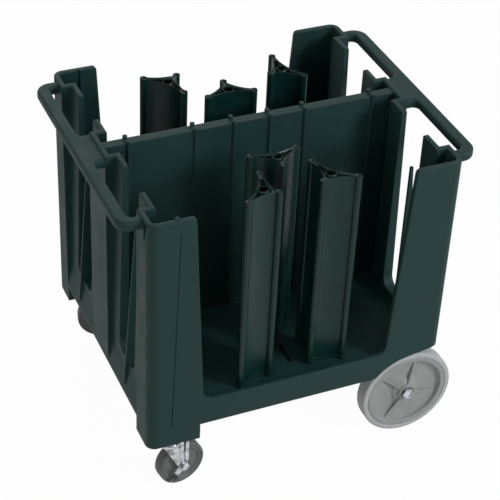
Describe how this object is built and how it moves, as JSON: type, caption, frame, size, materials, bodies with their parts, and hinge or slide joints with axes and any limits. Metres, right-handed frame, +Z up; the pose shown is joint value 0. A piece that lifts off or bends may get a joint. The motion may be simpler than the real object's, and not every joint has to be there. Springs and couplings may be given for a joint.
{
  "type": "plate dispenser cart",
  "caption": "Moulded plate dispenser cart with open bays, a push bar at each end, lift-out star-shaped plate towers, big fixed wheels and swivel casters with a foot brake.",
  "frame": {"origin": "on the floor, at mid length and mid width of the cart", "axes": "+X towards the big-wheel end, +Y towards the far long side, +Z up"},
  "size_m": [0.914, 0.716, 0.844],
  "materials": {
    "body_plastic": "fine moulded satin, very dark green",
    "tower_plastic": "fine moulded satin, very dark green",
    "wheel_grey": "satin grey moulding",
    "tyre_grey": "matt non-marking grey",
    "bush_nylon": "natural nylon",
    "zinc_steel": "bright zinc plate"
  },
  "bodies": {
    "cart": {"caddy_body": "body_plastic", "rear_axle": "zinc_steel", "rear_spacer_near": "zinc_steel", "rear_washer_near": "zinc_steel", "rear_nut_near": "zinc_steel", "caster_plate_near": "zinc_steel", "caster_bolts_near": "zinc_steel", "caster_race_near": "zinc_steel", "rear_spacer_far": "zinc_steel", "rear_washer_far": "zinc_steel", "rear_nut_far": "zinc_steel", "caster_plate_far": "zinc_steel", "caster_bolts_far": "zinc_steel", "caster_race_far": "zinc_steel"},
    "big_wheel_near": {"rear_wheel_near": "wheel_grey", "rear_tyre_near": "tyre_grey", "rear_bush_near": "bush_nylon"},
    "big_wheel_far": {"rear_wheel_far": "wheel_grey", "rear_tyre_far": "tyre_grey", "rear_bush_far": "bush_nylon"},
    "caster_fork_set_near": {"caster_fork_near": "zinc_steel", "caster_kingpin_near": "zinc_steel", "caster_axle_near": "zinc_steel", "caster_nut_near": "zinc_steel"},
    "caster_roller_near": {"caster_wheel_near": "wheel_grey", "caster_tread_near": "tyre_grey", "caster_bush_near": "bush_nylon"},
    "brake": {"brake_lever": "zinc_steel"},
    "caster_fork_set_far": {"caster_fork_far": "zinc_steel", "caster_kingpin_far": "zinc_steel", "caster_axle_far": "zinc_steel", "caster_nut_far": "zinc_steel"},
    "caster_roller_far": {"caster_wheel_far": "wheel_grey", "caster_tread_far": "tyre_grey", "caster_bush_far": "bush_nylon"},
    "tower_near_left_lift": {"tower_near_left": "tower_plastic", "tower_near_left_foot": "tower_plastic"},
    "tower_near_middle_lift": {"tower_near_middle": "tower_plastic", "tower_near_middle_foot": "tower_plastic"},
    "tower_near_right_lift": {"tower_near_right": "tower_plastic", "tower_near_right_foot": "tower_plastic"},
    "tower_far_left_lift": {"tower_far_left": "tower_plastic", "tower_far_left_foot": "tower_plastic"},
    "tower_far_middle_lift": {"tower_far_middle": "tower_plastic", "tower_far_middle_foot": "tower_plastic"},
    "tower_far_right_lift": {"tower_far_right": "tower_plastic", "tower_far_right_foot": "tower_plastic"}
  },
  "joints": [
    {"name": "big_wheel_near_roll", "type": "hinge", "parent": "cart", "child": "big_wheel_near", "pos_m": [0.326, -0.327, 0.127], "axis": [0, 1, 0], "continuous": true},
    {"name": "big_wheel_far_roll", "type": "hinge", "parent": "cart", "child": "big_wheel_far", "pos_m": [0.326, 0.327, 0.127], "axis": [0, 1, 0], "continuous": true},
    {"name": "caster_near_swivel", "type": "hinge", "parent": "cart", "child": "caster_fork_set_near", "pos_m": [-0.33, -0.317, 0.15], "axis": [0, 0, 1], "continuous": true},
    {"name": "caster_near_roll", "type": "hinge", "parent": "caster_fork_set_near", "child": "caster_roller_near", "pos_m": [-0.2975, -0.31127, 0.0635], "axis": [-0.1736, 0.9848, 0], "continuous": true},
    {"name": "brake_press", "type": "hinge", "parent": "caster_fork_set_near", "child": "brake", "pos_m": [-0.2975, -0.31127, 0.0635], "axis": [0.1736, -0.9848, 0], "range_deg": [0, 25]},
    {"name": "caster_far_swivel", "type": "hinge", "parent": "cart", "child": "caster_fork_set_far", "pos_m": [-0.33, 0.317, 0.15], "axis": [0, 0, 1], "continuous": true},
    {"name": "caster_far_roll", "type": "hinge", "parent": "caster_fork_set_far", "child": "caster_roller_far", "pos_m": [-0.29798, 0.30902, 0.0635], "axis": [0.2419, 0.9703, 0], "continuous": true},
    {"name": "tower_near_left_lift_out", "type": "slide", "parent": "cart", "child": "tower_near_left_lift", "axis": [0, 0, 1], "range_m": [0, 0.6]},
    {"name": "tower_near_middle_lift_out", "type": "slide", "parent": "cart", "child": "tower_near_middle_lift", "axis": [0, 0, 1], "range_m": [0, 0.6]},
    {"name": "tower_near_right_lift_out", "type": "slide", "parent": "cart", "child": "tower_near_right_lift", "axis": [0, 0, 1], "range_m": [0, 0.6]},
    {"name": "tower_far_left_lift_out", "type": "slide", "parent": "cart", "child": "tower_far_left_lift", "axis": [0, 0, 1], "range_m": [0, 0.6]},
    {"name": "tower_far_middle_lift_out", "type": "slide", "parent": "cart", "child": "tower_far_middle_lift", "axis": [0, 0, 1], "range_m": [0, 0.6]},
    {"name": "tower_far_right_lift_out", "type": "slide", "parent": "cart", "child": "tower_far_right_lift", "axis": [0, 0, 1], "range_m": [0, 0.6]}
  ]
}
